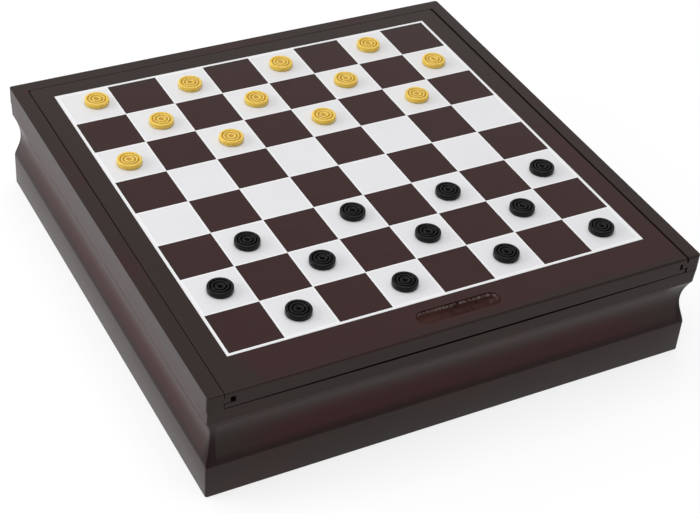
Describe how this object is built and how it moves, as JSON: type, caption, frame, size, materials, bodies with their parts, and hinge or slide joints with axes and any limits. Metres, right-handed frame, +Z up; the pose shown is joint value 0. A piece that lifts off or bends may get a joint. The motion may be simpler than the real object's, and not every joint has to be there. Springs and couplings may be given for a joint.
{
  "type": "games compendium box",
  "caption": "Square wooden games box with coved sides; its sliding lid is a draughts board with the draughts set out, and felt-lined bays inside hold chessmen, dominoes, cards and dice.",
  "frame": {"origin": "middle of the underside", "axes": "+X to the right and +Z up as seen from the front, where the finger scoop is; the lid slides out along -Y"},
  "size_m": [0.342, 0.343, 0.0841],
  "materials": {
    "stained_wood": "dark mahogany stain shaded to black at the edges, satin lacquer",
    "inner_wood": "brown stain, matt",
    "felt": "short green felt",
    "white_ink": "screen-printed white ink, matt",
    "light_chess_wood": "pale turned wood, satin",
    "dark_chess_wood": "dark stained turned wood, satin",
    "ivory_plastic": "polished, with black pips",
    "red_card": "coated board with a plain lattice",
    "blue_card": "coated board with a plain lattice",
    "cup_leather": "black grained leather over card",
    "yellow_plastic": "moulded, semi-gloss",
    "black_plastic": "moulded, semi-gloss"
  },
  "bodies": {
    "box": {"front_wall": "stained_wood", "back_wall": "stained_wood", "left_wall": "stained_wood", "right_wall": "stained_wood", "left_rail": "stained_wood", "right_rail": "stained_wood", "back_rail": "stained_wood", "base_panel": "inner_wood", "lining": "felt", "spine_divider": "inner_wood", "left_divider": "inner_wood", "right_divider": "inner_wood", "middle_divider": "inner_wood", "light_king": "light_chess_wood", "light_queen": "light_chess_wood", "light_bishops": "light_chess_wood", "light_knights": "light_chess_wood", "light_rooks": "light_chess_wood", "light_pawns": "light_chess_wood", "dark_king": "dark_chess_wood", "dark_queen": "dark_chess_wood", "dark_bishops": "dark_chess_wood", "dark_knights": "dark_chess_wood", "dark_rooks": "dark_chess_wood", "dark_pawns": "dark_chess_wood", "dominoes": "ivory_plastic", "first_card_pack": "red_card", "second_card_pack": "blue_card", "dice": "ivory_plastic", "dice_cup": "cup_leather"},
    "lid": {"lid_panel": "stained_wood", "board_print": "white_ink"},
    "light_draught_01": {"light_draught_01": "yellow_plastic"},
    "light_draught_02": {"light_draught_02": "yellow_plastic"},
    "light_draught_03": {"light_draught_03": "yellow_plastic"},
    "light_draught_04": {"light_draught_04": "yellow_plastic"},
    "light_draught_05": {"light_draught_05": "yellow_plastic"},
    "light_draught_06": {"light_draught_06": "yellow_plastic"},
    "light_draught_07": {"light_draught_07": "yellow_plastic"},
    "light_draught_08": {"light_draught_08": "yellow_plastic"},
    "light_draught_09": {"light_draught_09": "yellow_plastic"},
    "light_draught_10": {"light_draught_10": "yellow_plastic"},
    "light_draught_11": {"light_draught_11": "yellow_plastic"},
    "light_draught_12": {"light_draught_12": "yellow_plastic"},
    "dark_draught_01": {"dark_draught_01": "black_plastic"},
    "dark_draught_02": {"dark_draught_02": "black_plastic"},
    "dark_draught_03": {"dark_draught_03": "black_plastic"},
    "dark_draught_04": {"dark_draught_04": "black_plastic"},
    "dark_draught_05": {"dark_draught_05": "black_plastic"},
    "dark_draught_06": {"dark_draught_06": "black_plastic"},
    "dark_draught_07": {"dark_draught_07": "black_plastic"},
    "dark_draught_08": {"dark_draught_08": "black_plastic"},
    "dark_draught_09": {"dark_draught_09": "black_plastic"},
    "dark_draught_10": {"dark_draught_10": "black_plastic"},
    "dark_draught_11": {"dark_draught_11": "black_plastic"},
    "dark_draught_12": {"dark_draught_12": "black_plastic"}
  },
  "joints": [
    {"name": "lid_slide", "type": "slide", "parent": "box", "child": "lid", "axis": [0, -1, 0], "range_m": [0, 0.334]},
    {"name": "light_draught_01_lift", "type": "slide", "parent": "lid", "child": "light_draught_01", "axis": [0, 0, 1], "range_m": [0, 0.06]},
    {"name": "light_draught_02_lift", "type": "slide", "parent": "lid", "child": "light_draught_02", "axis": [0, 0, 1], "range_m": [0, 0.06]},
    {"name": "light_draught_03_lift", "type": "slide", "parent": "lid", "child": "light_draught_03", "axis": [0, 0, 1], "range_m": [0, 0.06]},
    {"name": "light_draught_04_lift", "type": "slide", "parent": "lid", "child": "light_draught_04", "axis": [0, 0, 1], "range_m": [0, 0.06]},
    {"name": "light_draught_05_lift", "type": "slide", "parent": "lid", "child": "light_draught_05", "axis": [0, 0, 1], "range_m": [0, 0.06]},
    {"name": "light_draught_06_lift", "type": "slide", "parent": "lid", "child": "light_draught_06", "axis": [0, 0, 1], "range_m": [0, 0.06]},
    {"name": "light_draught_07_lift", "type": "slide", "parent": "lid", "child": "light_draught_07", "axis": [0, 0, 1], "range_m": [0, 0.06]},
    {"name": "light_draught_08_lift", "type": "slide", "parent": "lid", "child": "light_draught_08", "axis": [0, 0, 1], "range_m": [0, 0.06]},
    {"name": "light_draught_09_lift", "type": "slide", "parent": "lid", "child": "light_draught_09", "axis": [0, 0, 1], "range_m": [0, 0.06]},
    {"name": "light_draught_10_lift", "type": "slide", "parent": "lid", "child": "light_draught_10", "axis": [0, 0, 1], "range_m": [0, 0.06]},
    {"name": "light_draught_11_lift", "type": "slide", "parent": "lid", "child": "light_draught_11", "axis": [0, 0, 1], "range_m": [0, 0.06]},
    {"name": "light_draught_12_lift", "type": "slide", "parent": "lid", "child": "light_draught_12", "axis": [0, 0, 1], "range_m": [0, 0.06]},
    {"name": "dark_draught_01_lift", "type": "slide", "parent": "lid", "child": "dark_draught_01", "axis": [0, 0, 1], "range_m": [0, 0.06]},
    {"name": "dark_draught_02_lift", "type": "slide", "parent": "lid", "child": "dark_draught_02", "axis": [0, 0, 1], "range_m": [0, 0.06]},
    {"name": "dark_draught_03_lift", "type": "slide", "parent": "lid", "child": "dark_draught_03", "axis": [0, 0, 1], "range_m": [0, 0.06]},
    {"name": "dark_draught_04_lift", "type": "slide", "parent": "lid", "child": "dark_draught_04", "axis": [0, 0, 1], "range_m": [0, 0.06]},
    {"name": "dark_draught_05_lift", "type": "slide", "parent": "lid", "child": "dark_draught_05", "axis": [0, 0, 1], "range_m": [0, 0.06]},
    {"name": "dark_draught_06_lift", "type": "slide", "parent": "lid", "child": "dark_draught_06", "axis": [0, 0, 1], "range_m": [0, 0.06]},
    {"name": "dark_draught_07_lift", "type": "slide", "parent": "lid", "child": "dark_draught_07", "axis": [0, 0, 1], "range_m": [0, 0.06]},
    {"name": "dark_draught_08_lift", "type": "slide", "parent": "lid", "child": "dark_draught_08", "axis": [0, 0, 1], "range_m": [0, 0.06]},
    {"name": "dark_draught_09_lift", "type": "slide", "parent": "lid", "child": "dark_draught_09", "axis": [0, 0, 1], "range_m": [0, 0.06]},
    {"name": "dark_draught_10_lift", "type": "slide", "parent": "lid", "child": "dark_draught_10", "axis": [0, 0, 1], "range_m": [0, 0.06]},
    {"name": "dark_draught_11_lift", "type": "slide", "parent": "lid", "child": "dark_draught_11", "axis": [0, 0, 1], "range_m": [0, 0.06]},
    {"name": "dark_draught_12_lift", "type": "slide", "parent": "lid", "child": "dark_draught_12", "axis": [0, 0, 1], "range_m": [0, 0.06]}
  ]
}
